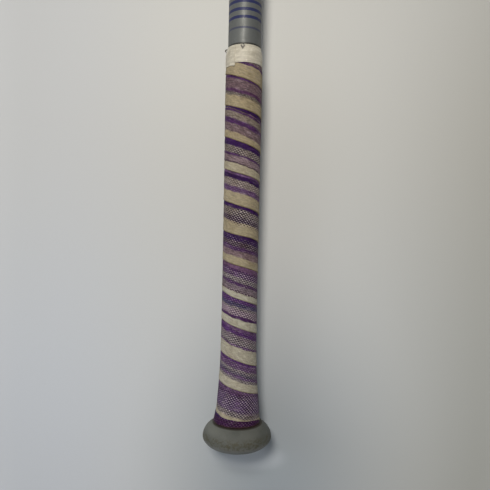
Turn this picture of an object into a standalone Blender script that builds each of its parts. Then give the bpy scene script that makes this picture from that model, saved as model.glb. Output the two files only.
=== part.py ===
"""A two-piece composite baseball bat that lies level along +Y.

The origin is the centre of the knob's flat end face. Sizes are in metres. "Height" below is a place along the bat,
counted from that face. Angles round the bat are counted from +X towards +Z.
"""

import math

import bmesh
import bpy
from mathutils import Vector

BAT_LENGTH = 0.840
BARREL_RADIUS = 0.033
BARREL_WALL = 0.003
BARREL_START = 0.600
TAPER_START = 0.350

HANDLE_RADIUS = 0.01215
HANDLE_WALL = 0.0022
GRIP_WAIST_RADIUS = 0.0116
WAIST_HEIGHT = 0.134
FLARE = 0.0030
FLARE_START = 0.020
FLARE_REACH = 0.031
FLARE_POWER = 1.7

KNOB_RADIUS = 0.0254
KNOB_FACE_RADIUS = 0.009
KNOB_EQUATOR = 0.0096
KNOB_TOP = 0.0201
KNOB_TOP_RADIUS = 0.0176
KNOB_RIM_EASE = 0.0004
SOCKET_FLOOR = 0.0060
KNOB_PLUG_LENGTH = 0.034
PLUG_CHAMFER = 0.001

JOINT_HEIGHT = 0.405
COLLAR_LENGTH = 0.018
COLLAR_PROUD = 0.0004
COLLAR_EASE = 0.0015
TENON_RADIUS = 0.0112
TENON_END = 0.480
FOAM_LENGTH = 0.040

GRIP_START = 0.0208
GRIP_END = 0.2931
GRIP_PITCH = 0.0227
GRIP_GAP = 0.0008
GRIP_THICKNESS = 0.00105
GRIP_LIFT = 0.0004
GRIP_START_ANGLE = math.radians(-121)
GRIP_START_TURNS = -0.625
GRIP_RING_BULGE = 0.0014
GRIP_RING_END = 0.3
GRIP_PINCHED_THICKNESS = 0.00055
GRIP_PINCH_REACH = 0.004
GRIP_END_WIDTH = 0.002
LOOP_POINTS = 24

TAPE_BOTTOM = 0.2835
TAPE_TOP = 0.2950
TAPE_INNER_RADIUS = 0.01335
TAPE_THICKNESS = 0.00035
TAPE_END_ANGLE = math.radians(122)
TAPE_OVERLAP = math.radians(88)
TAPE_END_DROP = 0.0027
TAPE_END_STEP = math.radians(1)
TAPE_END_THICKENING = 0.4
TAPE_SECTIONS = 48

SLEEVE_WALL = 0.0016
SLEEVE_BOTTOM = 0.620
SLEEVE_TOP = 0.790
RING_HEIGHT = 0.704
RING_LENGTH = 0.012
RING_WALL = 0.0030

CAP_FLANGE = 0.0045
CAP_PLUG_LENGTH = 0.016
CAP_WALL = 0.0030
CAP_FACE_RADIUS = 0.024
CAP_EDGE = 0.0012
CAP_FLOOR_STEP = 0.001
CAP_PLUG_CHAMFER = 0.002
CAP_GROOVE_RADIUS = 0.0205
CAP_GROOVE_WIDTH = 0.0024
CAP_GROOVE_DEPTH = 0.0008
RIM_INTURN = 0.0006
RIM_EASE = 0.002

GAP = 0.0003
FACETS = 32
AXIS_ROLL = math.pi / FACETS
NO_MERGE = 0.0001
SHARP_ANGLE = math.radians(35)


def smooth_step(value):
    value = min(max(value, 0.0), 1.0)
    return value * value * (3.0 - 2.0 * value)


def handle_radius(height):
    """Outer radius of the handle tube, from inside the knob to the start of the taper."""
    flare = FLARE * math.exp(-((max(height - FLARE_START, 0.0) / FLARE_REACH) ** FLARE_POWER))
    rise = smooth_step((height - WAIST_HEIGHT) / (TAPE_TOP - WAIST_HEIGHT))
    return GRIP_WAIST_RADIUS + flare + (HANDLE_RADIUS - GRIP_WAIST_RADIUS) * rise


def body_radius(height):
    """Outer radius of the bare bat: the handle, the taper and the barrel."""
    rise = smooth_step((height - TAPER_START) / (BARREL_START - TAPER_START))
    return handle_radius(height) + (BARREL_RADIUS - HANDLE_RADIUS) * rise


def steps_between(low, high, count):
    return [low + (high - low) * step / count for step in range(count + 1)]


def material(name, colour, roughness, metallic=0.0):
    made = bpy.data.materials.new(name)
    made.use_nodes = True
    shader = made.node_tree.nodes["Principled BSDF"]
    shader.inputs["Base Color"].default_value = (*colour, 1.0)
    shader.inputs["Roughness"].default_value = roughness
    shader.inputs["Metallic"].default_value = metallic
    made.diffuse_color = (*colour, 1.0)
    return made


def smooth_shaded(mesh):
    mesh.shade_smooth()
    mesh.set_sharp_from_angle(angle=SHARP_ANGLE)


def turned(name, profile, surface, collection, axis):
    """Turns a profile of (radius, height) points, which runs down its outer side, round the bat's axis."""
    mesh = bpy.data.meshes.new(name)
    points = [(radius, 0.0, height) for radius, height in profile]
    on_axis = profile[0][0] == 0.0 and profile[-1][0] == 0.0
    edges = [(index, index + 1) for index in range(len(points) - 1)]
    if not on_axis:
        edges.append((len(points) - 1, 0))
    mesh.from_pydata(points, edges, [])
    mesh.materials.append(surface)
    piece = bpy.data.objects.new(name, mesh)
    collection.objects.link(piece)
    piece.parent = axis
    screw = piece.modifiers.new("Turn", "SCREW")
    screw.axis = "Z"
    screw.angle = math.tau
    screw.steps = FACETS
    screw.render_steps = FACETS
    screw.use_merge_vertices = True
    screw.merge_threshold = NO_MERGE
    screw.use_smooth_shade = True
    return piece


def lofted(name, rings, closed, surface, collection, axis):
    """Joins rings of points into one closed body. An open row of rings gets a flat cap at each end."""
    shape = bmesh.new()
    rows = [[shape.verts.new(point) for point in ring] for ring in rings]
    pairs = list(zip(rows, rows[1:]))
    if closed:
        pairs.append((rows[-1], rows[0]))
    for near, far in pairs:
        for index in range(len(near)):
            after = (index + 1) % len(near)
            shape.faces.new((near[index], near[after], far[after], far[index]))
    if not closed:
        shape.faces.new(rows[0])
        shape.faces.new(rows[-1])
    bmesh.ops.recalc_face_normals(shape, faces=shape.faces)
    mesh = bpy.data.meshes.new(name)
    shape.to_mesh(mesh)
    shape.free()
    mesh.materials.append(surface)
    smooth_shaded(mesh)
    piece = bpy.data.objects.new(name, mesh)
    collection.objects.link(piece)
    piece.parent = axis
    return piece


def around(angle, radius, height):
    """A point in the axis's own space, whose Z runs along the bat. The angle goes from +X towards the world's +Z."""
    angle += AXIS_ROLL
    return Vector((radius * math.cos(angle), -radius * math.sin(angle), height))


def knob_profile():
    """The socket's wall going up, the rounded rim, then the dome down its outer side to the flat end face."""
    socket = handle_radius(KNOB_TOP) + GAP
    profile = [(0.0, SOCKET_FLOOR), (socket, SOCKET_FLOOR), (socket, KNOB_TOP - KNOB_RIM_EASE)]
    profile.append((KNOB_TOP_RADIUS, KNOB_TOP))
    start = math.acos(KNOB_TOP_RADIUS / KNOB_RADIUS)
    for angle in steps_between(start, 0.0, 5)[1:]:
        fullness = math.sin(angle) / math.sin(start)
        profile.append((KNOB_RADIUS * math.cos(angle), KNOB_EQUATOR + (KNOB_TOP - KNOB_EQUATOR) * fullness))
    last = math.acos(KNOB_FACE_RADIUS / KNOB_RADIUS)
    for angle in steps_between(0.0, last, 6)[1:]:
        depth = KNOB_EQUATOR * math.sin(angle) / math.sin(last)
        profile.append((KNOB_RADIUS * math.cos(angle), KNOB_EQUATOR - depth))
    profile.append((0.0, 0.0))
    return profile


def handle_profile():
    """The tenon that goes into the barrel, the step, the bare handle and the flare, then the bore going up."""
    bottom = SOCKET_FLOOR + GAP
    step = JOINT_HEIGHT - GAP
    outside = [(TENON_RADIUS, TENON_END), (TENON_RADIUS, step)]
    outside += [(body_radius(h), h) for h in steps_between(step, TAPER_START, 3)]
    outside += [(body_radius(h), h) for h in (TAPE_TOP, 0.240, 0.190, WAIST_HEIGHT, 0.105)]
    outside += [(body_radius(h), h) for h in steps_between(0.085, FLARE_START, 6)]
    outside.append((body_radius(FLARE_START), bottom))
    bore = TENON_RADIUS - HANDLE_WALL
    return outside + [(bore, bottom), (bore, TENON_END)]


def knob_plug_profile():
    radius = TENON_RADIUS - HANDLE_WALL - GAP
    bottom = SOCKET_FLOOR + GAP
    top = bottom + KNOB_PLUG_LENGTH
    chamfered = [(radius - PLUG_CHAMFER, top), (radius, top - PLUG_CHAMFER)]
    return [(0.0, top)] + chamfered + [(radius, bottom), (0.0, bottom)]


def foam_plug_profile():
    radius = TENON_RADIUS - HANDLE_WALL - GAP
    bottom = TENON_END - FOAM_LENGTH
    return [(0.0, TENON_END), (radius, TENON_END), (radius, bottom), (0.0, bottom)]


def collar_profile():
    """Stands a little proud of the handle and the barrel, with both edges eased."""
    top = JOINT_HEIGHT + COLLAR_LENGTH - GAP
    inside = TENON_RADIUS + GAP
    heights = steps_between(top - COLLAR_EASE, JOINT_HEIGHT + COLLAR_EASE, 4)
    outside = [(body_radius(top), top)]
    outside += [(body_radius(h) + COLLAR_PROUD, h) for h in heights]
    outside.append((body_radius(JOINT_HEIGHT), JOINT_HEIGHT))
    return outside + [(inside, JOINT_HEIGHT), (inside, top)]


def neck_radius(height):
    """Inner radius of the barrel shell at a height."""
    return body_radius(height) - BARREL_WALL


def connection_sleeve_profile():
    bottom = JOINT_HEIGHT + COLLAR_LENGTH
    outside = [(neck_radius(h) - GAP, h) for h in steps_between(TENON_END, bottom, 4)]
    inside = TENON_RADIUS + GAP
    return outside + [(inside, bottom), (inside, TENON_END)]


def barrel_profile():
    """The rim, the parallel barrel and the taper down its outer side, then the hollow going up."""
    bottom = JOINT_HEIGHT + COLLAR_LENGTH
    top = BAT_LENGTH - CAP_FLANGE - GAP
    outside = [(BARREL_RADIUS - RIM_INTURN, top), (BARREL_RADIUS, top - RIM_EASE)]
    outside += [(body_radius(h), h) for h in steps_between(BARREL_START, bottom, 12)]
    inside = [(neck_radius(h), h) for h in steps_between(bottom, BARREL_START, 8)]
    inside.append((BARREL_RADIUS - BARREL_WALL, top))
    return outside + inside


def tube_profile(outer, wall, bottom, top):
    return [(outer, top), (outer, bottom), (outer - wall, bottom), (outer - wall, top)]


def inner_sleeve_radius():
    return BARREL_RADIUS - BARREL_WALL - GAP


def inner_sleeve_profile():
    return tube_profile(inner_sleeve_radius(), SLEEVE_WALL, SLEEVE_BOTTOM, SLEEVE_TOP)


def barrel_ring_profile():
    outer = inner_sleeve_radius() - SLEEVE_WALL - GAP
    return tube_profile(outer, RING_WALL, RING_HEIGHT, RING_HEIGHT + RING_LENGTH)


def groove_points():
    """The shallow moulded groove round the flat middle of the cap."""
    floor = BAT_LENGTH - CAP_GROOVE_DEPTH
    slope = CAP_GROOVE_DEPTH / 2
    far = CAP_GROOVE_RADIUS + CAP_GROOVE_WIDTH
    near_side = [(CAP_GROOVE_RADIUS, BAT_LENGTH), (CAP_GROOVE_RADIUS + slope, floor)]
    return near_side + [(far - slope, floor), (far, BAT_LENGTH)]


def end_cap_profile():
    """A flat face with a rounded edge, the flange on the barrel's rim, and a hollow plug that is open inwards."""
    seat = BAT_LENGTH - CAP_FLANGE
    bottom = seat - CAP_PLUG_LENGTH
    plug = BARREL_RADIUS - BARREL_WALL - GAP
    inside = plug - CAP_WALL
    floor = seat - CAP_FLOOR_STEP
    edge = BARREL_RADIUS - CAP_FACE_RADIUS
    profile = [(0.0, BAT_LENGTH)] + groove_points() + [(CAP_FACE_RADIUS, BAT_LENGTH)]
    for angle in steps_between(0.0, math.pi / 2, 5)[1:]:
        drop = (CAP_FLANGE - CAP_EDGE) * (1.0 - math.cos(angle))
        profile.append((CAP_FACE_RADIUS + edge * math.sin(angle), BAT_LENGTH - drop))
    profile += [(BARREL_RADIUS - RIM_INTURN, seat), (plug, seat)]
    profile += [(plug, bottom + CAP_PLUG_CHAMFER), (plug - CAP_PLUG_CHAMFER / 2, bottom)]
    profile += [(inside, bottom), (inside, floor), (0.0, floor)]
    return profile


def grip_edge(turns):
    """Height of the tape's lower edge: level on the knob before turn 0, then easing into the helix in one turn."""
    if turns < 0.0:
        return GRIP_START
    if turns < 1.0:
        return GRIP_START + GRIP_PITCH * turns * turns / 2.0
    return GRIP_START + GRIP_PITCH * (turns - 0.5)


def grip_section(turns):
    """The eight corners of the tape's section: full at the lower edge, thinner where the next turn would lap it."""
    angle = GRIP_START_ANGLE + math.tau * turns
    low = grip_edge(turns)
    high = min(grip_edge(turns + 1.0) - GRIP_GAP, GRIP_END)
    width = high - low
    pinch_start = TAPE_BOTTOM - TAPE_END_DROP - GRIP_PINCH_REACH - GAP
    ring = GRIP_RING_BULGE * (1.0 - smooth_step(turns / GRIP_RING_END))
    corners = []
    outline = ((0.0, 0.0), (0.0, 0.55), (0.06, 1.0), (0.35, 1.05), (0.7, 0.95), (0.95, 0.85), (1.0, 0.5), (1.0, 0.0))
    for across, through in outline:
        height = low + width * across
        pinch = smooth_step((height - pinch_start) / GRIP_PINCH_REACH)
        thick = GRIP_THICKNESS + (GRIP_PINCHED_THICKNESS - GRIP_THICKNESS) * pinch
        radius = handle_radius(height) + GRIP_LIFT + (thick + ring) * through
        corners.append(around(angle, radius, height))
    return corners


def grip_rings():
    """Sections along the whole tape, from its pointed start on the knob to its slanting end under the white tape."""
    start = GRIP_START_TURNS
    rings = []
    while grip_edge(start + len(rings) / LOOP_POINTS) < GRIP_END - GRIP_END_WIDTH:
        rings.append(grip_section(start + len(rings) / LOOP_POINTS))
    return rings


def dense(ring):
    """A section's corners and the points halfway along its sides."""
    halves = [(point + ring[(index + 1) % len(ring)]) / 2 for index, point in enumerate(ring)]
    return ring + halves


def least_gap(rings):
    """Least distance from the points of one turn to those of the next turn."""
    nearest = math.inf
    for index, ring in enumerate(rings):
        for other in rings[index + LOOP_POINTS - 2 : index + LOOP_POINTS + 3]:
            for point in ring:
                nearest = min(nearest, *((point - far).length for far in dense(other)))
    return nearest


def tape_ring(angle, over):
    """One section of the finishing tape. over is 0 where it lies single and 1 at its slanting outer end."""
    low = TAPE_BOTTOM - TAPE_END_DROP * over
    outer = TAPE_INNER_RADIUS + TAPE_THICKNESS * (1.0 + TAPE_END_THICKENING * smooth_step(over))
    return [
        around(angle, TAPE_INNER_RADIUS, low),
        around(angle, outer, low),
        around(angle, outer, TAPE_TOP),
        around(angle, TAPE_INNER_RADIUS, TAPE_TOP),
    ]


def tape_rings():
    """Sections all round, with a step where the outer end of the tape was cut."""
    rings = []
    for turn in steps_between(0.0, math.tau - TAPE_END_STEP, TAPE_SECTIONS - 1):
        over = max(1.0 - turn / TAPE_OVERLAP, 0.0)
        rings.append(tape_ring(TAPE_END_ANGLE + turn, over))
    return rings


def clear_scene():
    for old in list(bpy.data.objects):
        bpy.data.objects.remove(old, do_unlink=True)


def build_axis(collection):
    """An empty whose Z runs along the bat, rolled by half a facet so that the bat lies on flats."""
    axis = bpy.data.objects.new("bat_axis", None)
    axis.rotation_euler = (-math.pi / 2, AXIS_ROLL, 0.0)
    collection.objects.link(axis)
    return axis


def build_bat():
    bat = bpy.data.collections.new("baseball_bat")
    bpy.context.scene.collection.children.link(bat)
    axis = build_axis(bat)

    silver = material("silver_paint", (0.20, 0.205, 0.21), 0.35, 0.6)
    knob_grey = material("knob_rubber", (0.13, 0.135, 0.115), 0.75)
    tape_purple = material("grip_tape", (0.20, 0.11, 0.24), 0.8)
    tape_white = material("cloth_tape", (0.66, 0.62, 0.50), 0.85)
    carbon = material("carbon_laminate", (0.03, 0.03, 0.035), 0.4)
    black_rubber = material("black_rubber", (0.025, 0.025, 0.028), 0.7)
    cap_plastic = material("cap_urethane", (0.03, 0.035, 0.12), 0.55)
    foam = material("foam", (0.5, 0.5, 0.45), 0.9)

    pieces = (
        ("knob", knob_profile(), knob_grey),
        ("knob_plug", knob_plug_profile(), black_rubber),
        ("handle_tube", handle_profile(), silver),
        ("handle_foam_plug", foam_plug_profile(), foam),
        ("joint_collar", collar_profile(), black_rubber),
        ("connection_sleeve", connection_sleeve_profile(), black_rubber),
        ("barrel_shell", barrel_profile(), silver),
        ("barrel_inner_sleeve", inner_sleeve_profile(), carbon),
        ("barrel_ring", barrel_ring_profile(), carbon),
        ("end_cap", end_cap_profile(), cap_plastic),
    )
    for name, profile, surface in pieces:
        turned(name, profile, surface, bat, axis)

    rings = grip_rings()
    lofted("grip_wrap", rings, False, tape_purple, bat, axis)
    lofted("finishing_tape", tape_rings(), True, tape_white, bat, axis)
    loops = (len(rings) - 1) / LOOP_POINTS
    print(f"grip_wrap: {loops:.1f} loops, least gap to itself {1000 * least_gap(rings):.2f} mm")


clear_scene()
build_bat()
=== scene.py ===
"""Looks of the composite baseball bat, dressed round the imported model.

Everything is in metres. The bat lies level along +Y with the centre of its knob's end face at the origin.
"Height" is a place along the bat, counted from that face. Angles round the bat are counted from +X towards
+Z, so the camera above it sees 90 degrees best.
"""

import math

import bpy
from mathutils import Matrix, Vector, noise


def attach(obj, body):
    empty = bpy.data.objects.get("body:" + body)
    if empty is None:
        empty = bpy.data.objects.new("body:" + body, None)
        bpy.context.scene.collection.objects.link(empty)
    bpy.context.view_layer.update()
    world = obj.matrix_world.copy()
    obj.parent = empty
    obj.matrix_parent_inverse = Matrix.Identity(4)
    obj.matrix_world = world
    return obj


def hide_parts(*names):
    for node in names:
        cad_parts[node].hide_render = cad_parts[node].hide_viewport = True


MM = 0.001

# Body of the bat, as in the model's source
BAT_LENGTH = 0.840
BARREL_RADIUS = 0.033
BARREL_WALL = 0.003
BARREL_START = 0.600
TAPER_START = 0.350
HANDLE_RADIUS = 0.01215
HANDLE_WALL = 0.0022
GRIP_WAIST_RADIUS = 0.0116
WAIST_HEIGHT = 0.134
FLARE = 0.0030
FLARE_START = 0.020
FLARE_REACH = 0.031
FLARE_POWER = 1.7
KNOB_RADIUS = 0.0254
KNOB_FACE_RADIUS = 0.009
KNOB_EQUATOR = 0.0096
KNOB_TOP = 0.0201
KNOB_TOP_RADIUS = 0.0176
KNOB_RIM_EASE = 0.0004
SOCKET_FLOOR = 0.0060
JOINT_HEIGHT = 0.405
COLLAR_LENGTH = 0.018
COLLAR_PROUD = 0.0004
COLLAR_EASE = 0.0015
TENON_RADIUS = 0.0112
TENON_END = 0.480
CAP_FLANGE = 0.0045
CAP_PLUG_LENGTH = 0.016
CAP_PLUG_CHAMFER = 0.002
CAP_WALL = 0.0030
CAP_FACE_RADIUS = 0.024
CAP_EDGE = 0.0012
CAP_FLOOR_STEP = 0.001
CAP_GROOVE_RADIUS = 0.0205
CAP_GROOVE_WIDTH = 0.0024
CAP_GROOVE_DEPTH = 0.0008
RIM_INTURN = 0.0006
RIM_EASE = 0.002
GAP = 0.0003
# Finer than the model: dents in the knob, edges set back a little, and rounder and smoother meshes
KNOB_DENT = 0.0001
DENT_SCALE = 160.0
EDGE_SINK = 0.00005
CAP_RIM_IN = 0.0001
CAP_RIM_UP = 0.0005
FACETS = 144
SHARP_ANGLE = math.radians(50)

# Grip tape: its lower edge is level on the knob, then climbs one pitch a turn
GRIP_START = 0.0208
GRIP_PITCH = 0.0227
GRIP_START_ANGLE = math.radians(-121)
GRIP_START_TURNS = -0.625
GRIP_LAP = 0.003
GRIP_TOP = 0.2912
GRIP_LAST_EDGE = 0.2890
SECTIONS_A_TURN = 120
LIP_ROUNDING = 0.00035
LIP_LIFT = 0.00165
BODY_LIFT = 0.00150
LAPPED_LIFT = 0.00122
TUCKED_LIFT = 0.00055
INNER_LIFT = 0.00008
# The level first turn stands out as a ring, which widens towards its foot
RING_BULGE = 0.0009
RING_END = 0.55
RING_FOOT = 0.6
RING_FOOT_WIDTH = 0.0045

# Widths over which the tape's lift changes, its gap to the turn below, and sizes of its small waves
LIP_EASE = 0.0070
UPPER_EASE = 0.0025
LAP_EASE = 0.0010
LAP_GAP = 0.00002
EDGE_WAVE = 0.00018
EDGE_WAVE_START = 0.3
BODY_WAVE = 0.000055
CREASE_WAVE = 0.000045
# Where the tape is pressed thin and where it runs out, as (height, reach, share of its lift that is lost)
THINNINGS = ((0.2775, 0.0045, 0.40), (0.2862, 0.0046, 0.93))
# Points across the tape, in mm: past its lower edge, along its body, by its upper edge and back inside it
LIP_PLACES = (0.0, 0.04, 0.12, 0.35, 0.8, 1.5, 2.5)
BODY_START = 4.0
BODY_STOP = -2.0
BODY_STEPS = 12
UPPER_PLACES = (-1.0, 0.0, 1.0, 2.0)
INNER_PLACES = (4.2, 3.5, 2.5, 1.2)

# How far each turn was wound off an even pitch, in mm, as (turns, drift): on its right side, then on its left
DRIFTS = (
    (0.42, -0.4), (0.58, -0.9), (0.75, -1.7), (1.42, 0.8), (1.75, 1.7), (2.42, -0.8), (2.75, 0.9),
    (3.42, 0.5), (3.75, 1.5), (4.42, -1.6), (4.75, -0.8), (5.42, 0.0), (5.75, -0.6), (6.42, -0.8),
    (6.75, -2.0), (7.42, -2.9), (7.75, -2.6), (8.42, -1.8), (8.75, -2.1), (9.42, -2.7), (9.75, -1.4),
    (10.42, -0.4), (10.75, -0.7), (11.42, -1.6), (11.75, -1.2),
)
# How far each turn's lower edge lies off its print, in mm: on its right side, in the middle and on its left
TRIM_PLACES = (0.47, 0.60, 0.73)
TRIMS = (
    (-0.5, -0.45, 0.05), (0.3, 0.25, 0.05), (-0.75, -0.6, -0.55), (-0.55, -0.45, -0.2), (-0.45, -0.5, 0.0),
    (-0.55, -0.35, 0.0), (0.1, -0.1, 0.1), (0.0, -0.1, 0.0), (-0.6, -0.65, -0.1), (-0.7, -0.6, -0.2),
    (-0.9, -0.9, -0.45), (-0.9, -0.65, 0.0),
)
TRIM_START = 0.2

# Colours printed on the grip tape; the pale and chalk grounds of the lower turns are partly painted light, as
# lighter copies of the cream
INKS = {
    "cream": (0.310, 0.257, 0.163),
    "sand": (0.318, 0.272, 0.182),
    "ivory": (0.345, 0.305, 0.222),
    "pale": (0.378, 0.350, 0.278),
    "chalk": (0.398, 0.378, 0.306),
    "beige": (0.214, 0.174, 0.154),
    "fawn": (0.188, 0.152, 0.126),
    "stone": (0.120, 0.100, 0.088),
    "sage": (0.182, 0.156, 0.160),
    "taupe": (0.154, 0.130, 0.126),
    "umber": (0.150, 0.121, 0.105),
    "slate": (0.056, 0.033, 0.051),
    "steel": (0.088, 0.074, 0.108),
    "mauve": (0.142, 0.096, 0.106),
    "dusk": (0.124, 0.080, 0.092),
    "orchid": (0.162, 0.124, 0.148),
    "pink": (0.168, 0.116, 0.128),
    "blush": (0.198, 0.140, 0.160),
    "rose": (0.250, 0.182, 0.230),
    "lilac": (0.098, 0.055, 0.128),
    "heather": (0.118, 0.060, 0.122),
    "violet": (0.100, 0.050, 0.124),
    "royal": (0.068, 0.022, 0.110),
    "purple": (0.058, 0.020, 0.080),
    "plum": (0.074, 0.029, 0.076),
    "grape": (0.029, 0.003, 0.034),
    "night": (0.026, 0.005, 0.056),
    "navy": (0.050, 0.040, 0.100),
    # The maroon ink is painted shade along the lower edge of the ring on the knob
    "maroon_ring_shade": (0.038, 0.018, 0.023),
}

# The print on each turn, from the ring on the knob upwards: (from mm, to mm, ink, strength of the net)
PRINT_SPAN = 26.0
PRINTS = (
    # The first strip, along the ring's lower edge, is painted shade
    ((0, 0.9, "maroon_ring_shade", 0), (1.3, 5, "grape", 0.19), (6, 26, "night", 0.2)),
    ((0, 3, "ivory", 0.05), (4.4, 6.4, "taupe", 0.8), (8.2, 18.6, "lilac", 1), (19.6, 20.4, "purple", 0.7),
     (21, 26, "violet", 0.3)),
    # The pale and chalk grounds are partly painted light
    ((0, 6.4, "pale", 0.05), (7, 8.4, "sage", 0.5), (8.9, 10.8, "lilac", 0.5), (11.4, 12.8, "steel", 0.6),
     (13.4, 14.6, "sage", 0.8), (15.4, 18.6, "violet", 0.4), (19.4, 26, "royal", 0.2)),
    ((0, 8.9, "pale", 0.1), (9.5, 10.6, "violet", 0.5), (11.2, 14.4, "sage", 1), (15.2, 17, "orchid", 0.7),
     (18, 20.6, "royal", 0.2), (21.2, 26, "violet", 0.1)),
    ((0, 5.3, "chalk", 0), (6, 7.6, "purple", 0), (8.2, 12.3, "rose", 1), (13, 13.8, "sage", 0.7),
     (14.4, 16.8, "navy", 0.4), (17.4, 26, "royal", 0.3)),
    ((0, 4, "chalk", 0), (4.2, 5, "dusk", 1), (5.4, 8.8, "orchid", 0.2), (9.4, 11.2, "purple", 0.4),
     (12, 14.6, "sage", 1), (15.4, 18.6, "violet", 0.9), (19, 20, "purple", 0.4), (20.6, 26, "heather", 0)),
    ((0, 5.3, "sand", 0), (6.3, 9.9, "pink", 0.1), (11.1, 12.9, "purple", 0.3), (13.7, 16.5, "slate", 0.7),
     (17.2, 19.5, "night", 0.4), (20, 26, "night", 0)),
    ((0, 7, "sand", 0.05), (7.6, 8.8, "cream", 0.7), (9.6, 12.6, "slate", 0.9), (13.8, 18.4, "umber", 1),
     (19.1, 26, "night", 0)),
    ((0, 8.2, "sand", 0), (9.3, 12.4, "violet", 0.15), (13.4, 17.6, "beige", 0.6), (18.4, 21.2, "night", 0),
     (21.6, 26, "violet", 0)),
    ((0, 5.3, "ivory", 0), (5.9, 6.4, "slate", 0), (7, 10.6, "blush", 0.2), (11.4, 12.2, "purple", 0),
     (13, 17.4, "umber", 0.8), (18.2, 21.8, "night", 0), (22.1, 26, "purple", 0)),
    ((0, 4.2, "cream", 0), (5.3, 10.4, "mauve", 0.08), (11.4, 13.8, "purple", 0), (15, 19, "fawn", 0.1),
     (19.8, 20.8, "purple", 0), (21.1, 21.4, "mauve", 0), (21.7, 26, "night", 0)),
    ((0, 7, "cream", 0), (8.6, 9.6, "stone", 0.2), (10.4, 12, "plum", 0), (12.9, 19.5, "dusk", 0.06),
     (20, 26, "purple", 0)),
    ((0, 9.2, "cream", 0), (9.8, 11.1, "purple", 0), (11.6, 26, "mauve", 0.2)),
)
# How much higher the print lies on the left side of each turn than at its middle, in mm
SLANTS = (0, 1.4, 0.3, 0, -0.4, 0, 0, 0.5, 0, 0.6, 0.5, 0.1, -0.5)
SLANT_REACH = 0.2
SLANT_GAIN = 1.2
# A print gives way to the next one at the back of the handle, this far into a turn and over this reach
PRINT_CHANGE = 0.086
CHANGE_REACH = 0.1
# The middle of the side that the camera sees is this far into a turn
FRONT = 0.586
# The net is woven from two sets of lines, as (spacing, direction)
NET_LINES = ((1.72 * MM, math.radians(138)), (1.40 * MM, math.radians(58)))
NET_WANDER = 2.4
DOT_COLOUR = (0.63, 0.57, 0.57)
DOT_SHARE = 0.66
NET_SHADE = (0.010, 0.002, 0.028)
WORN = (0.34, 0.28, 0.30)
STREAK = (0.4, 0.35, 0.4)
# Dirt darkens what it lies on by this much
GRIME = (0.46, 0.38, 0.27)

# Finishing tape
TAPE_BOTTOM = 0.2818
TAPE_TOP = 0.2950
TAPE_RADIUS = 0.01342
TAPE_TOP_RADIUS = 0.01246
TAPE_THICKNESS = 0.00028
TAPE_END_ANGLE = math.radians(114.5)
TAPE_OVERLAP = math.radians(88)
TAPE_END_DROP = 0.0023
TAPE_END_CURVE = 1.15
TAPE_END_LIFT = 0.0003
TAPE_LIFT_END = math.radians(66)
TAPE_LIFT_REACH = math.radians(60)
TAPE_HUG_START = 0.2898
TAPE_LOW_WAVE = 0.00016
TAPE_TOP_WAVE = 0.00014
TAPE_WRINKLE = 0.00005
TAPE_ROWS = 36
TAPE_SECTIONS = 400
# Spacings of its weave
WARP = 0.00045
WEFT = 0.00040
# The tear in its upper edge, with a notch beside it
TEAR_TURN = (math.radians(90) - TAPE_END_ANGLE) % math.tau
TEAR_HALF_WIDTH = 0.0019
TEAR_DEPTH = 0.0030
TEAR_WIDTH = 0.00085
TEAR_FRINGE = 0.0012
TEAR_DENT = 0.0002
NOTCH_DEPTH = 0.0007
NOTCH_WIDTH = 0.0007
NOTCH_ASIDE = 0.0004

# Loose threads of its weave, as (thickness, run of (angle in degrees, radius in mm, height in mm))
THREADS = (
    (0.00026, ((176, 12.6, 295.4), (178, 13.5, 295.6), (180, 14.2, 295.3), (181, 14.5, 294.6),
               (179, 14.1, 294.0))),
    (0.00020, ((178, 13.0, 294.9), (180, 13.8, 295.0), (181, 14.1, 294.5), (180, 13.6, 293.9),
               (178, 13.0, 293.4))),
    (0.00012, ((94, 12.8, 294.8), (93, 13.2, 295.2), (91, 13.4, 295.4), (89, 13.4, 295.2))),
    (0.00012, ((122, 13.7, 279.8), (120, 13.9, 279.3), (117, 14.0, 278.9))),
)
THREAD_SIDES = 6
THREAD_ASIDE = (0.0, 0.3, 1.0)

# Colours of the finishing tape, with painted shadow along the sides of its tear
CLOTH_COLOURS = (0.43, 0.385, 0.295), (0.63, 0.58, 0.47)
CLOTH_STAIN = (0.40, 0.355, 0.27)
CLOTH_GAPS = (0.38, 0.34, 0.26)
CLOTH_BLOTCH = (0.33, 0.295, 0.22)
CLOTH_CHALK = (0.78, 0.74, 0.64)
CLOTH_TEAR_SHADOW = (0.045, 0.032, 0.018)

# Colours of the knob, and the places between which they come in. Its paler end and paler left shoulder are
# painted light, and the dark line under the grip's ring is painted shade
KNOB_COLOURS = (0.068, 0.072, 0.064), (0.098, 0.101, 0.091)
KNOB_GRAIN = (0.17, 0.172, 0.16)
KNOB_END_PAINTED_LIGHT = (0.150, 0.155, 0.147)
KNOB_END_LIGHT_HEIGHTS = (0.0105, 0.0070)
KNOB_BROWN = (0.050, 0.045, 0.024)
KNOB_BROWN_HEIGHTS = ((0.0160, 0.0120), (0.0060, 0.0095))
KNOB_LIT_SHOULDER = (0.142, 0.146, 0.130)
KNOB_LIT_SHOULDER_HEIGHTS = (0.0125, 0.0170)
KNOB_LIT_SHOULDER_SIDE = (0.0, -0.0180)
KNOB_RING_SHADE = (0.022, 0.016, 0.010)
KNOB_RING_SHADE_HEIGHTS = (0.0193, 0.0198)

# Colours of the lacquer, with a line of painted shade beside the finishing tape
SILVER_COLOURS = (0.098, 0.103, 0.101), (0.120, 0.125, 0.121)
SILVER_FLAKE = (0.26, 0.265, 0.27)
SILVER_SCRATCH = (0.24, 0.24, 0.235)
SILVER_GRIME = (0.075, 0.070, 0.058)
TAPE_EDGE_SHADE = (0.020, 0.018, 0.014)
TAPE_EDGE_SHADE_HEIGHTS = (TAPE_TOP + 0.0018, TAPE_TOP + 0.0008)
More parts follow.
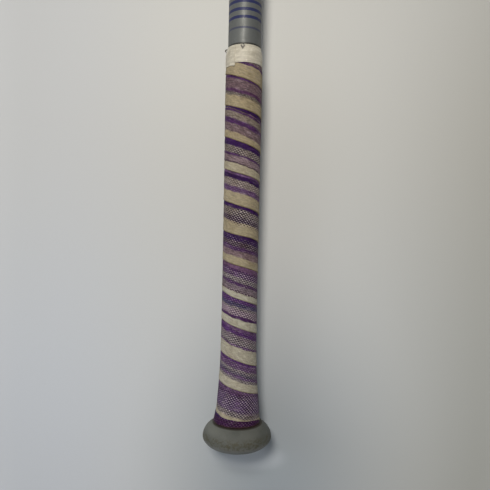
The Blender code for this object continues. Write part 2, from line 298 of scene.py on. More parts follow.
# Painted rings in plain navy, as (middle, half width, strength)
NAVY = (0.020, 0.024, 0.085)
HANDLE_RINGS = ((0.3262, 0.0011, 1.0), (0.3205, 0.0011, 1.0), (0.3149, 0.0011, 1.0), (0.3072, 0.0007, 0.6))
BARREL_RINGS = ((0.446, 0.0015, 1.0), (0.452, 0.0030, 1.0), (0.788, 0.0060, 1.0), (0.799, 0.0015, 1.0))

# Colours of the smaller and the hidden pieces: a dark one, a pale one, and one that lies over them in spots
RUBBER_COLOURS = (0.020, 0.020, 0.022), (0.038, 0.037, 0.037), (0.075, 0.073, 0.070)
CAP_COLOURS = (0.022, 0.026, 0.088), (0.034, 0.040, 0.120), (0.115, 0.118, 0.150)
CARBON_COLOURS = (0.014, 0.014, 0.016), (0.042, 0.043, 0.047), (0.065, 0.064, 0.062)
FOAM_COLOURS = (0.30, 0.29, 0.25), (0.55, 0.54, 0.48), (0.42, 0.38, 0.28)
THREAD_COLOURS = (0.050, 0.043, 0.032), (0.15, 0.135, 0.10)
CARBON_TOWS = 60.0
CARBON_TOW = 0.0028

# Camera, fitted to the photograph
CAMERA_PLACE = (0.03641, 0.15179, 0.36299)
CAMERA_RIGHT = (0.9956531, 0.0198178, -0.0910064)
CAMERA_UP = (-0.0200017, 0.9997993, -0.0011088)
CAMERA_BACK = (0.0909662, 0.0029243, 0.9958497)
CAMERA_LENS = 36.07
SENSOR = 36.0
CLIP_START = 0.01

# The world's strength as a light, and the pale backdrop that is seen in its place
AMBIENT = 0.205
SKY = (0.96, 0.98, 1.0)
BACKDROP = 0.60
# Lamps, as (name, place, target, size, spread in degrees, power, colour)
LAMPS = (
    ("ceiling_lamp", (-0.12, 1.02, 1.50), (-0.09, 0.33, 0.0), 0.47, 70.0, 3.46, (1.0, 0.955, 0.87)),
    ("window", (-0.72, 0.20, 0.45), (0.0, -0.02, 0.0), 0.7, 45.0, 0.23, (0.90, 0.96, 1.0)),
)

FLOOR_REACH = 4.0
# The floor goes from one colour to the other along the bat: painted light and shade, cooler and paler by the
# knob, warmer and darker up the handle
FLOOR_COLOURS = (0.590, 0.610, 0.630), (0.545, 0.545, 0.530)
FLOOR_CHANGE = (0.0, 0.26)
FLOOR_FIBRE = (0.45, 0.45, 0.44)
# Painted shade makes it warmer and darker to the right of the bat, and painted light makes it cooler to its
# left
FLOOR_RIGHT_SHADE = (0.62, 0.60, 0.53)
FLOOR_RIGHT_REACH = (0.02, 0.26)
FLOOR_RIGHT_LEAN = -0.25
FLOOR_RIGHT_END = (0.25, 0.18)
FLOOR_LEFT_LIGHT = (0.99, 1.01, 1.07)
FLOOR_LEFT_REACH = (-0.03, -0.16)
# Painted shadow darkens it past the knob, and a paler spot beside it is painted light that thins the knob's
# shadow, as (place, stretch, reach, colour, blend)
FLOOR_SHADOW_AND_LIGHT_SPOTS = (
    ((0.0245, -0.048, 0.0), 0.6, (0.13, 0.0), (0.56, 0.60, 0.64), "MULTIPLY"),
    ((0.006, -0.017, 0.0), 2.6, (0.036, 0.012), (0.52, 0.56, 0.61), "MIX"),
)
# Away from the bat it turns paler, painted light where the lamps' light falls off, then into the backdrop
FLOOR_FAR_LIGHT = (0.85, 0.86, 0.88)
FLOOR_FAR_REACH = (0.18, 0.36)
FLOOR_END = (0.175, 0.40)


def smooth_step(value):
    """Eases a value between nothing and one."""
    value = min(max(value, 0.0), 1.0)
    return value * value * (3.0 - 2.0 * value)


def steps_between(low, high, count):
    return [low + (high - low) * step / count for step in range(count + 1)]


def handle_radius(height):
    """Outer radius of the handle tube, from inside the knob to the start of the taper."""
    flare = FLARE * math.exp(-((max(height - FLARE_START, 0.0) / FLARE_REACH) ** FLARE_POWER))
    rise = smooth_step((height - WAIST_HEIGHT) / (TAPE_TOP - WAIST_HEIGHT))
    return GRIP_WAIST_RADIUS + flare + (HANDLE_RADIUS - GRIP_WAIST_RADIUS) * rise


def body_radius(height):
    """Outer radius of the bare bat: the handle, the taper and the barrel."""
    rise = smooth_step((height - TAPER_START) / (BARREL_START - TAPER_START))
    return handle_radius(height) + (BARREL_RADIUS - HANDLE_RADIUS) * rise


def between(points, place):
    """Eased value at a place among (place, value) points in rising order."""
    if place <= points[0][0]:
        return points[0][1]
    for (near, low), (far, high) in zip(points, points[1:]):
        if place <= far:
            return low + (high - low) * smooth_step((place - near) / (far - near))
    return points[-1][1]


def trim(turns):
    """How far the grip tape's lower edge lies off its print at a place along the winding."""
    points = [(TRIM_START, 0.0)]
    for turn, row in enumerate(TRIMS):
        points += [(turn + place, offset) for place, offset in zip(TRIM_PLACES, row)]
    return between(points, turns) * MM


def around(angle, radius, height):
    return Vector((radius * math.cos(angle), height, radius * math.sin(angle)))


def ripple(size, *place):
    """A soft, uneven wave of this size at a place in a noise."""
    return size * noise.noise(Vector(place))


# Materials


class Surface:
    """A procedural material and short ways to add nodes to it."""

    def __init__(self, name):
        self.material = bpy.data.materials.new(name)
        self.material.use_nodes = True
        self.tree = self.material.node_tree
        self.shader = self.tree.nodes["Principled BSDF"]

    def feed(self, value, socket):
        if isinstance(value, bpy.types.NodeSocket):
            self.tree.links.new(value, socket)
        elif isinstance(value, tuple) and len(value) == 3 and socket.type == "RGBA":
            socket.default_value = (*value, 1.0)
        else:
            socket.default_value = value

    def set(self, **values):
        for name, value in values.items():
            self.feed(value, self.shader.inputs[name.replace("_", " ")])

    def node(self, kind, inputs=(), **settings):
        made = self.tree.nodes.new("ShaderNode" + kind)
        for name, value in settings.items():
            setattr(made, name, value)
        for name, value in dict(inputs).items():
            self.feed(value, made.inputs[name])
        return made

    def math(self, operation, first, second=0.0, third=0.0, clamp=False):
        inputs = {0: first, 1: second, 2: third}
        return self.node("Math", inputs, operation=operation, use_clamp=clamp).outputs[0]

    def times(self, first, second):
        return self.math("MULTIPLY", first, second)

    def step(self, value, low, high, start=0.0, end=1.0):
        """Eases from start to end while the value goes from low to high."""
        inputs = {"Value": value, "From Min": low, "From Max": high, "To Min": start, "To Max": end}
        return self.node("MapRange", inputs, interpolation_type="SMOOTHSTEP").outputs[0]

    def mix(self, factor, first, second, blend="MIX"):
        inputs = {0: factor, 6: first, 7: second}
        return self.node("Mix", inputs, data_type="RGBA", blend_type=blend).outputs[2]

    def graded(self, colours, value, low, high):
        """Goes from the first colour to the second while the value goes from low to high."""
        return self.mix(self.step(value, low, high), colours[0], colours[1])

    def over(self, colour, value, low, high, share, other, blend="MIX"):
        """Lays another colour over this one, up to a share of it, while the value goes from low to high."""
        return self.mix(self.step(value, low, high, 0.0, share), colour, other, blend)

    def mix_value(self, factor, first, second):
        return self.node("Mix", {0: factor, 2: first, 3: second}, data_type="FLOAT").outputs[0]

    def attribute(self, name):
        return self.node("Attribute", attribute_name=name).outputs["Fac"]

    def point(self):
        """The point on the object, in metres."""
        return self.node("TexCoord").outputs["Object"]

    def place(self, scale=(1.0, 1.0, 1.0)):
        """The point on the object, stretched by a scale."""
        return self.node("Mapping", {"Vector": self.point(), "Scale": scale}).outputs[0]

    def axes(self):
        """Distances to the right of the bat, along it and above it."""
        return self.node("SeparateXYZ", {0: self.point()}).outputs

    def unrolled(self, shrink):
        """Along and across an unrolled tape, the point there, and that point with its length shrunk."""
        along = self.attribute("along")
        across = self.attribute("across")
        flat = self.node("CombineXYZ", {0: along, 1: across}).outputs[0]
        shrunk = self.node("Mapping", {"Vector": flat, "Scale": (shrink, 1.0, 1.0)}).outputs[0]
        return along, across, flat, shrunk

    def vector_math(self, operation, first, second=(0.0, 0.0, 0.0)):
        return self.node("VectorMath", {0: first, 1: second}, operation=operation).outputs

    def reach(self, centre, stretch):
        """Level distance from a place, with the direction along the bat stretched."""
        offset = self.vector_math("SUBTRACT", self.point(), centre)[0]
        level = self.vector_math("MULTIPLY", offset, (1.0, stretch, 0.0))[0]
        return self.vector_math("LENGTH", level)["Value"]

    def noise(self, vector, scale, detail=3.0, roughness=0.5, distortion=0.0):
        inputs = {"Vector": vector, "Scale": scale, "Detail": detail, "Roughness": roughness}
        inputs["Distortion"] = distortion
        return self.node("TexNoise", inputs).outputs["Fac"]

    def spread(self, value, size):
        """Turns a value between nothing and one into an offset, half of this size to each side."""
        return self.math("MULTIPLY_ADD", value, size, -size / 2.0)

    def ramp(self, value, stops):
        """Colour and alpha of a colour ramp, whose stops are (place, colour, alpha)."""
        made = self.node("ValToRGB", {0: value})
        elements = made.color_ramp.elements
        for index, (place, colour, alpha) in enumerate(stops):
            element = elements[index] if index < 2 else elements.new(place)
            element.position = place
            element.color = (*colour, alpha)
        return made.outputs["Color"], made.outputs["Alpha"]

    def finish(self, colour, rough, relief, depth, **others):
        """Sets the shader, with a bump of this depth in metres, and gives the material."""
        bump = self.node("Bump", {"Height": relief, "Distance": depth}).outputs[0]
        self.set(Base_Color=colour, Roughness=rough, Normal=bump, **others)
        return self.material


def print_stops(stripes):
    """Two stops for each stripe, so that the gaps between stripes are soft blends."""
    return [(place / PRINT_SPAN, INKS[ink], net) for low, high, ink, net in stripes for place in (low, high)]


def printed_colour(look, spot, turns):
    """Colour of the print and strength of its net, with the stripes that each turn has."""
    colour, net = look.ramp(spot, print_stops(PRINTS[0]))
    for index, stripes in enumerate(PRINTS[1:]):
        change = index + PRINT_CHANGE
        factor = look.step(turns, change - CHANGE_REACH, change + CHANGE_REACH)
        next_colour, next_net = look.ramp(spot, print_stops(stripes))
        colour = look.mix(factor, colour, next_colour)
        net = look.mix_value(factor, net, next_net)
    return colour, net


def netted_colour(look, colour, net, along, across, flat):
    """Lays pale dots where neither wave is high, and dark pricks where both are. Gives the pricks too."""
    waves = []
    for spacing, direction in NET_LINES:
        phase = look.times(along, math.tau * math.cos(direction) / spacing)
        phase = look.math("MULTIPLY_ADD", across, math.tau * math.sin(direction) / spacing, phase)
        phase = look.math("MULTIPLY_ADD", look.noise(flat, 260.0, 1.0), NET_WANDER, phase)
        waves.append(look.math("MULTIPLY_ADD", look.math("COSINE", phase), 0.5, 0.5))
    dots = look.times(net, look.step(look.math("MAXIMUM", *waves), 0.55, 0.15))
    pricks = look.times(net, look.step(look.times(*waves), 0.18, 0.44))
    colour = look.mix(look.times(dots, DOT_SHARE), colour, DOT_COLOUR)
    return look.mix(pricks, colour, NET_SHADE), pricks


def worn_colour(look, colour, tone, flat, shrunk):
    """Worn threads, and dark streaks and an uneven weave, both weaker where the tone is pale."""
    busy = look.step(tone, 0.12, 0.24, 1.0, 0.5)
    threads = look.noise(shrunk, 620.0, 4.0, 0.62, 0.5)
    worn = look.step(threads, 0.54, 0.72, 0.0, 0.42)
    worn = look.times(worn, look.step(tone, 0.01, 0.06, 0.4, 1.0))
    colour = look.mix(worn, colour, WORN)
    streaks = look.times(look.step(threads, 0.46, 0.30, 0.0, 0.45), busy)
    colour = look.mix(streaks, colour, STREAK, "MULTIPLY")
    lines = look.step(look.noise(shrunk, 900.0, 4.0, 0.65), 0.32, 0.68, 0.62, 1.38)
    tufts = look.step(look.noise(flat, 620.0, 3.0, 0.6), 0.3, 0.7, 0.78, 1.22)
    shade = look.mix_value(busy, 1.0, look.times(lines, tufts))
    greys = look.node("CombineColor", {0: shade, 1: shade, 2: shade}).outputs[0]
    return look.mix(1.0, colour, greys, "MULTIPLY")


def soiled_colour(look, colour, flat, across):
    """Patches and specks of dirt, and a line of it along the lower edge."""
    patches = look.step(look.noise(flat, 75.0, 5.0, 0.62), 0.46, 0.80, 0.0, 0.6)
    specks = look.step(look.noise(flat, 900.0, 2.0), 0.64, 0.78, 0.0, 0.6)
    edge = look.step(across, 0.2 * MM, 1.0 * MM, 0.7, 0.0)
    soiled = look.math("MAXIMUM", patches, look.math("MAXIMUM", specks, edge))
    return look.mix(soiled, colour, GRIME, "MULTIPLY")


def grip_surface():
    look = Surface("grip_tape_print")
    along, across, flat, shrunk = look.unrolled(0.22)
    turns = look.attribute("turns")
    drift = look.spread(look.noise(flat, 150.0, 3.0), 2.2 * MM)
    ragged = look.spread(look.noise(shrunk, 700.0, 3.0, 0.6), 2.6 * MM)
    spot = look.math("ADD", look.attribute("printed"), look.math("ADD", drift, ragged))
    spot = look.math("DIVIDE", spot, PRINT_SPAN * MM, clamp=True)
    colour, net = printed_colour(look, spot, turns)
    tone = look.node("RGBToBW", {0: colour}).outputs[0]

    patchy = look.step(look.noise(flat, 130.0, 2.0), 0.30, 0.55, 0.25, 1.0)
    round_the_bat = look.math("FRACT", look.math("SUBTRACT", turns, PRINT_CHANGE))
    patchy = look.times(patchy, look.step(round_the_bat, 0.68, 0.50, 0.45, 1.0))
    net = look.times(net, patchy)
    colour, pricks = netted_colour(look, colour, net, along, across, flat)
    colour = worn_colour(look, colour, tone, flat, shrunk)
    colour = soiled_colour(look, colour, flat, across)

    weave = look.noise(flat, 2600.0, 2.0, 0.7)
    creases = look.noise(shrunk, 700.0, 3.0, 0.55, 0.6)
    relief = look.math("MULTIPLY_ADD", pricks, -0.8, look.times(weave, 0.5))
    relief = look.math("MULTIPLY_ADD", creases, 1.3, relief)
    rough = look.step(look.noise(flat, 260.0, 3.0), 0.3, 0.7, 0.56, 0.74)
    return look.finish(colour, rough, relief, 0.24 * MM, Specular_IOR_Level=0.12)


def cloth_surface():
    look = Surface("cloth_tape_weave")
    along, across, flat, shrunk = look.unrolled(0.15)
    warp = look.math("SINE", look.times(along, math.tau / WARP))
    weft = look.math("SINE", look.times(across, math.tau / WEFT))
    weave = look.times(warp, weft)
    bands = look.noise(shrunk, 520.0, 4.0, 0.6)
    stain = look.noise(flat, 120.0, 4.0, 0.6)
    blotch = look.noise(flat, 420.0, 4.0, 0.65)
    colour = look.graded(CLOTH_COLOURS, bands, 0.35, 0.70)
    colour = look.over(colour, stain, 0.45, 0.78, 0.5, CLOTH_STAIN)
    colour = look.over(colour, weave, -1.0, 1.0, 0.16, CLOTH_GAPS)
    colour = look.over(colour, blotch, 0.52, 0.36, 0.30, CLOTH_BLOTCH)
    colour = look.over(colour, blotch, 0.55, 0.70, 0.5, CLOTH_CHALK)
    # Painted shadow along the sides of the tear
    colour = look.over(colour, look.attribute("near_tear"), 0.0, 0.5, 0.95, CLOTH_TEAR_SHADOW)
    relief = look.math("MULTIPLY_ADD", bands, 3.0, look.times(weave, 0.30))
    rough = look.step(stain, 0.3, 0.7, 0.48, 0.56)
    look.set(Coat_Weight=0.5, Coat_Roughness=0.45)
    return look.finish(colour, rough, relief, 0.12 * MM, Specular_IOR_Level=1.0)


def thread_surface():
    look = Surface("frayed_thread")
    twist = look.noise(look.place(), 2400.0, 3.0, 0.6)
    colour = look.graded(THREAD_COLOURS, twist, 0.35, 0.65)
    return look.finish(colour, 0.8, twist, 0.05 * MM)


def knob_surface():
    """Grey rubber, with painted light that makes its end and its left shoulder paler, a brown band, and
    painted shade beside the grip.
    """
    look = Surface("knob_grey_rubber")
    point = look.place()
    side, height, _ = look.axes()
    cloud = look.noise(point, 70.0, 5.0, 0.6)
    grain = look.noise(point, 1900.0, 2.0)
    scuff = look.noise(look.place((1.0, 1.4, 1.0)), 420.0, 5.0, 0.68, 0.5)
    colour = look.graded(KNOB_COLOURS, cloud, 0.35, 0.68)
    # Painted light: paler towards the end face, where its shading falls off
    colour = look.over(colour, height, *KNOB_END_LIGHT_HEIGHTS, 0.95, KNOB_END_PAINTED_LIGHT)
    band = look.times(*(look.step(height, *heights) for heights in KNOB_BROWN_HEIGHTS))
    soiled = look.times(band, look.step(scuff, 0.45, 0.58, 0.06, 0.85))
    colour = look.mix(soiled, colour, KNOB_BROWN)
    # Painted light: the left shoulder is made paler where the light falls on it
    lit_shoulder = look.step(height, *KNOB_LIT_SHOULDER_HEIGHTS)
    lit_shoulder = look.times(lit_shoulder, look.step(side, *KNOB_LIT_SHOULDER_SIDE))
    colour = look.mix(look.times(lit_shoulder, 0.6), colour, KNOB_LIT_SHOULDER)
    # Painted shade: a dark line on the knob just under the grip's ring
    colour = look.over(colour, height, *KNOB_RING_SHADE_HEIGHTS, 0.92, KNOB_RING_SHADE)
    colour = look.over(colour, grain, 0.62, 0.75, 0.35, KNOB_GRAIN)
    rough = look.step(cloud, 0.3, 0.7, 0.58, 0.78)
    relief = look.math("MULTIPLY_ADD", scuff, 1.5, grain)
    return look.finish(colour, rough, relief, 0.10 * MM, Specular_IOR_Level=0.4)


def ring_paint(look, point, height, rings):
    """How far the navy paint of the rings covers a point. It is chipped here and there."""
    paint = 0.0
    for middle, half, strength in rings:
        ring = look.times(look.math("COMPARE", height, middle, half), strength)
        paint = look.math("ADD", paint, ring)
    chipped = look.noise(point, 420.0, 5.0, 0.72)
    return look.times(paint, look.step(chipped, 0.72, 0.60))


def lacquer_surface(name, rings):
    look = Surface(name)
    point = look.place()
    wobble = look.spread(look.noise(point, 900.0, 2.0), 0.16 * MM)
    height = look.math("ADD", look.axes()[1], wobble)
    paint = ring_paint(look, point, height, rings)
    flakes = look.noise(point, 3200.0, 1.0)
    cloud = look.noise(look.place((1.0, 0.35, 1.0)), 60.0, 4.0)
    scratch = look.noise(look.place((1.0, 0.06, 1.0)), 1500.0, 2.0, 0.5)
    grime = look.noise(point, 160.0, 6.0, 0.68)
    colour = look.graded(SILVER_COLOURS, cloud, 0.3, 0.7)
    colour = look.over(colour, flakes, 0.60, 0.75, 0.5, SILVER_FLAKE)
    colour = look.over(colour, scratch, 0.68, 0.74, 0.25, SILVER_SCRATCH)
    colour = look.over(colour, grime, 0.58, 0.75, 0.4, SILVER_GRIME)
    colour = look.mix(paint, colour, NAVY)
    # Painted shade: a dark line on the handle just above the finishing tape
    colour = look.over(colour, height, *TAPE_EDGE_SHADE_HEIGHTS, 0.85, TAPE_EDGE_SHADE)
    metallic = look.step(paint, 0.0, 1.0, 0.30, 0.0)
    rough = look.step(grime, 0.4, 0.75, 0.48, 0.60)
    coat = look.step(grime, 0.60, 0.46, 0.008, 0.027)
    relief = look.math("MULTIPLY_ADD", scratch, -0.6, look.noise(point, 700.0, 2.0))
    look.set(Metallic=metallic, Coat_Weight=coat, Coat_Roughness=0.11)
    return look.finish(colour, rough, relief, 0.015 * MM, Specular_IOR_Level=0.2)


def rubber_surface():
    look = Surface("black_rubber_skin")
    point = look.place()
    cloud = look.noise(point, 120.0, 5.0, 0.6)
    pebble = look.noise(point, 1500.0, 2.0)
    colour = look.graded(RUBBER_COLOURS, cloud, 0.35, 0.7)
    colour = look.over(colour, pebble, 0.60, 0.78, 0.4, RUBBER_COLOURS[2])
    rough = look.step(cloud, 0.3, 0.7, 0.55, 0.78)
    return look.finish(colour, rough, pebble, 0.08 * MM)


def cap_surface():
    look = Surface("cap_urethane_skin")
    point = look.place()
    cloud = look.noise(point, 80.0, 5.0, 0.6)
    pebble = look.noise(point, 1300.0, 3.0)
    scuff = look.noise(look.place((1.0, 4.0, 1.0)), 150.0, 6.0, 0.7, 0.6)
    colour = look.graded(CAP_COLOURS, cloud, 0.35, 0.7)
    colour = look.over(colour, scuff, 0.60, 0.76, 0.5, CAP_COLOURS[2])
    rough = look.step(scuff, 0.4, 0.7, 0.48, 0.70)
    relief = look.math("ADD", pebble, scuff)
    return look.finish(colour, rough, relief, 0.09 * MM)


def carbon_surface():
    look = Surface("carbon_twill")
    side, height, up = look.axes()
    angle = look.math("ARCTAN2", up, side)
    warp = look.math("SINE", look.times(angle, CARBON_TOWS))
    weft = look.math("SINE", look.times(height, math.tau / CARBON_TOW))
    tows = look.times(warp, weft)
    resin = look.noise(look.point(), 300.0, 4.0)
    colour = look.graded(CARBON_COLOURS, tows, -0.3, 0.3)
    colour = look.over(colour, resin, 0.5, 0.8, 0.5, CARBON_COLOURS[2])
    rough = look.step(tows, -0.5, 0.5, 0.28, 0.44)
    return look.finish(colour, rough, tows, 0.05 * MM)


def foam_surface():
    look = Surface("foam_cells")
    point = look.place()
    cells = look.node("TexVoronoi", {"Vector": point, "Scale": 1100.0}).outputs["Distance"]
    cloud = look.noise(point, 150.0, 4.0)
    colour = look.graded(FOAM_COLOURS, cells, 0.2, 0.7)
    colour = look.over(colour, cloud, 0.5, 0.8, 0.4, FOAM_COLOURS[2])
    return look.finish(colour, 0.9, cells, 0.2 * MM)


def seen_directly(tree):
    """One for a ray from the camera or a reflected or refracted one, and nothing for any other ray."""
    path = tree.nodes.new("ShaderNodeLightPath")
    seen = path.outputs["Is Camera Ray"]
    for ray in ("Is Glossy Ray", "Is Transmission Ray"):
        either = tree.nodes.new("ShaderNodeMath")
        either.operation = "MAXIMUM"
        tree.links.new(seen, either.inputs[0])
        tree.links.new(path.outputs[ray], either.inputs[1])
        seen = either.outputs[0]
    return seen


def distance_from_bat(look, side, height):
    """Level distance from the bat's axis, or from its nearer end."""
    beyond = look.node("Clamp", {"Value": height, "Min": 0.0, "Max": BAT_LENGTH}).outputs[0]
    beyond = look.math("SUBTRACT", height, beyond)
    beside = look.node("CombineXYZ", {0: side, 1: beyond}).outputs[0]
    return look.vector_math("LENGTH", beside)["Value"]


def floor_surface():
    """Plain and pale, with painted light and shade in soft tones like those of the photo, and the backdrop
    away from the bat.
    """
    look = Surface("pale_floor")
    side, height, _ = look.axes()
    away = distance_from_bat(look, side, height)
    # Painted light and shade on the floor: along the bat, to each side and round the knob
    colour = look.graded(FLOOR_COLOURS, height, *FLOOR_CHANGE)
    right = look.math("MULTIPLY_ADD", height, FLOOR_RIGHT_LEAN, side)
    right = look.step(right, *FLOOR_RIGHT_REACH)
    right = look.times(right, look.step(away, *FLOOR_RIGHT_END))
    colour = look.mix(right, colour, FLOOR_RIGHT_SHADE, "MULTIPLY")
    colour = look.over(colour, side, *FLOOR_LEFT_REACH, 1.0, FLOOR_LEFT_LIGHT, "MULTIPLY")
    for place, stretch, reach, tone, blend in FLOOR_SHADOW_AND_LIGHT_SPOTS:
        colour = look.over(colour, look.reach(place, stretch), *reach, 1.0, tone, blend)
    fibres = look.noise(look.place(), 900.0, 3.0)
    colour = look.over(colour, fibres, 0.35, 0.7, 0.05, FLOOR_FIBRE)
    colour = look.over(colour, away, *FLOOR_FAR_REACH, 1.0, FLOOR_FAR_LIGHT)
    material = look.finish(colour, 0.45, fibres, 0.02 * MM, Specular_IOR_Level=0.25)

    factor = look.times(look.step(away, *FLOOR_END), seen_directly(look.tree))
    backdrop = look.node("Emission", {"Color": SKY, "Strength": BACKDROP}).outputs[0]
    both = look.node("MixShader", {0: factor, 1: look.shader.outputs[0], 2: backdrop})
    look.feed(both.outputs[0], look.tree.nodes["Material Output"].inputs["Surface"])
    return material


# Meshes


def placed(name, data):
    """Adds a new object to the scene."""
    made = bpy.data.objects.new(name, data)
    bpy.context.scene.collection.objects.link(made)
    return made


def finished(name, points, faces, surface, nodes, values=None):
    """Makes a smooth piece with its slot, the nodes that it stands for and values on its points."""
    mesh = bpy.data.meshes.new(name)
    mesh.from_pydata(points, [], faces)
    mesh.validate()
    mesh.shade_smooth()
    mesh.set_sharp_from_angle(angle=SHARP_ANGLE)
    for key, numbers in (values or {}).items():
        mesh.attributes.new(key, "FLOAT", "POINT").data.foreach_set("value", numbers)
    mesh.materials.append(surface)
    piece = placed(name, mesh)
    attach(piece, "root")
    if nodes:
        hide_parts(*nodes)


def turned(name, profile, surface, nodes, dent=0.0):
    """Turns a profile of (radius, height) points, which runs down its outer side, round the bat's axis."""
    points = []
    rows = []
    for radius, height in profile:
        if radius == 0.0:
            rows.append([len(points)] * FACETS)
            points.append((0.0, height, 0.0))
            continue
        row = []
        for index in range(FACETS):
            angle = math.tau * index / FACETS
            point = around(angle, radius, height)
            if dent:
                point = around(angle, radius + dent * noise.noise(point * DENT_SCALE), height)
            row.append(len(points))
            points.append(point)
        rows.append(row)
    pairs = list(zip(rows, rows[1:]))
    if profile[0][0] > 0.0:
        pairs.append((rows[-1], rows[0]))
    faces = []
    for upper, lower in pairs:
        for index in range(FACETS):
            after = (index + 1) % FACETS
            face = tuple(dict.fromkeys((upper[index], upper[after], lower[after], lower[index])))
            if len(face) > 2:
                faces.append(face)
    finished(name, points, faces, surface, nodes)


def swept(name, sections, surface, nodes, values):
    """Joins sections, which are loops of points, into one body with closed ends."""
    count = len(sections[0])
    points = [point for section in sections for point in section]
    faces = []
    for row in range(len(sections) - 1):
        here = row * count
        there = here + count
        for index in range(count):
            after = (index + 1) % count
            faces.append((here + index, there + index, there + after, here + after))
    faces.append(tuple(range(count)))
    faces.append(tuple(reversed(range(len(points) - count, len(points)))))
    finished(name, points, faces, surface, nodes, values)


def grip_edge(turns):
    """Height of the grip tape's lower edge: level on the knob before turn 0, then easing into the helix."""
    if turns < 0.0:
        even = GRIP_START
    elif turns < 1.0:
        even = GRIP_START + GRIP_PITCH * turns * turns / 2.0
    else:
        even = GRIP_START + GRIP_PITCH * (turns - 0.5)
    wave = ripple(EDGE_WAVE, turns * 5.0, 3.7, 0.0) * smooth_step(turns / EDGE_WAVE_START)
    return even + between(DRIFTS, turns) * MM + trim(turns) + wave


def pinch(height):
    """The tape is pressed thin under the finishing tape and runs out at its top."""
    share = 1.0
    for start, reach, loss in THINNINGS:
        share *= 1.0 - loss * smooth_step((height - start) / reach)
    return share


def outer_lift(across, width):
    """How far the tape's outside stands off the handle: a rounded lip, a flat body, and a thin upper edge."""
    if across < LIP_ROUNDING:
        drop = 1.0 - across / LIP_ROUNDING
        return LAPPED_LIFT + (LIP_LIFT - LAPPED_LIFT) * math.sqrt(max(1.0 - drop * drop, 0.0))
    lift = LIP_LIFT + (BODY_LIFT - LIP_LIFT) * smooth_step((across - LIP_ROUNDING) / LIP_EASE)
    lift += (LAPPED_LIFT - BODY_LIFT) * smooth_step((across - width + UPPER_EASE) / UPPER_EASE)
    return lift + (TUCKED_LIFT - LAPPED_LIFT) * smooth_step((across - width) / GRIP_LAP)


def inner_lift(across):
    """The inside lies on the turn below for the width of the lap, then on the handle."""
    over = LAP_GAP + LAPPED_LIFT + (TUCKED_LIFT - LAPPED_LIFT) * smooth_step(across / GRIP_LAP)
    return over + (INNER_LIFT - over) * smooth_step((across - GRIP_LAP) / LAP_EASE)


def print_slant(turns):
    """How much higher the print lies here than at the middle of the side that the camera sees."""
    turn = min(max(math.floor(turns - PRINT_CHANGE) + 1, 0), len(SLANTS) - 1)
    points = []
    for near in (turn - 1, turn, turn + 1):
        slant = SLANT_GAIN * SLANTS[min(max(near, 0), len(SLANTS) - 1)]
        middle = near - 1 + FRONT
        points += [(middle - SLANT_REACH, -slant), (middle + SLANT_REACH, slant)]
    return between(points, turns) * MM


def grip_places(width):
    """Places of points across the tape's outside, and across its inside on the way back."""
    outside = [place * MM for place in LIP_PLACES]
    outside += steps_between(BODY_START * MM, width + BODY_STOP * MM, BODY_STEPS)
    outside += [width + place * MM for place in UPPER_PLACES]
    outside.append(width + GRIP_LAP)
    inside = [width + GRIP_LAP, width, width * 0.6]
    inside += [place * MM for place in INNER_PLACES]
    return outside, inside


def build_grip(surface):
    sections = []
    values = {"along": [], "across": [], "turns": [], "printed": []}
    along = 0.0
    turns = GRIP_START_TURNS
    while grip_edge(turns) <= GRIP_LAST_EDGE:
        low = grip_edge(turns)
        width = grip_edge(turns + 1.0) - low
        angle = GRIP_START_ANGLE + math.tau * turns
        ring = RING_BULGE * (1.0 - smooth_step(turns / RING_END))
        shift = trim(turns) - print_slant(turns)
        outside, inside = grip_places(width)
        lifts = []
        for across in outside:
            lift = outer_lift(across, width) + ripple(BODY_WAVE, along * 160.0, across * 420.0, 1.5)
            lift += ripple(CREASE_WAVE, along * 60.0, across * 900.0, 7.5)
            lifts.append(lift + ring * RING_FOOT * (1.0 - smooth_step(across / RING_FOOT_WIDTH)))
        lifts += [inner_lift(across) for across in inside]
        section = []
        for across, lift in zip(outside + inside, lifts):
            height = min(low + across, GRIP_TOP)
            section.append(around(angle, handle_radius(height) + (lift + ring) * pinch(height), height))
            values["along"].append(along)
            values["across"].append(across)
            values["turns"].append(turns)
            values["printed"].append(across + shift)
        sections.append(section)
        turns += 1.0 / SECTIONS_A_TURN
        along += math.tau / SECTIONS_A_TURN * (handle_radius(low + width / 2.0) + BODY_LIFT)
    print(f"grip tape: {along:.3f} m long, {len(sections) / SECTIONS_A_TURN:.1f} turns")
    swept("wound_grip_tape", sections, surface, ["grip_wrap"], values)


def tape_edges(turn):
    """Lower and upper edge of the finishing tape at an angle past its outer end."""
    over = max(1.0 - turn / TAPE_OVERLAP, 0.0)
    low = TAPE_BOTTOM - TAPE_END_DROP * over ** TAPE_END_CURVE + ripple(TAPE_LOW_WAVE, turn * 2.2, 1.3, 0.0)
    high = TAPE_TOP + ripple(TAPE_TOP_WAVE, turn * 3.1, 8.3, 0.0)
    aside = (turn - TEAR_TURN) * TAPE_RADIUS + NOTCH_ASIDE
    return low, high - NOTCH_DEPTH * max(1.0 - abs(aside) / NOTCH_WIDTH, 0.0)


def near_tear(turn, height):
    """How near a point is to the V-shaped tear in the tape's upper edge: one on it, nothing far from it."""
    aside = abs(turn - TEAR_TURN) * TAPE_RADIUS
    if aside > TEAR_HALF_WIDTH:
        return 0.0
    tear = TAPE_TOP - TEAR_DEPTH * (1.0 - aside / TEAR_HALF_WIDTH)
    slope = math.hypot(TEAR_DEPTH, TEAR_HALF_WIDTH) / TEAR_HALF_WIDTH
    near = 1.0 - smooth_step(abs(height - tear) / slope / TEAR_WIDTH)
    return near * smooth_step((TAPE_TOP - height) / TEAR_FRINGE)


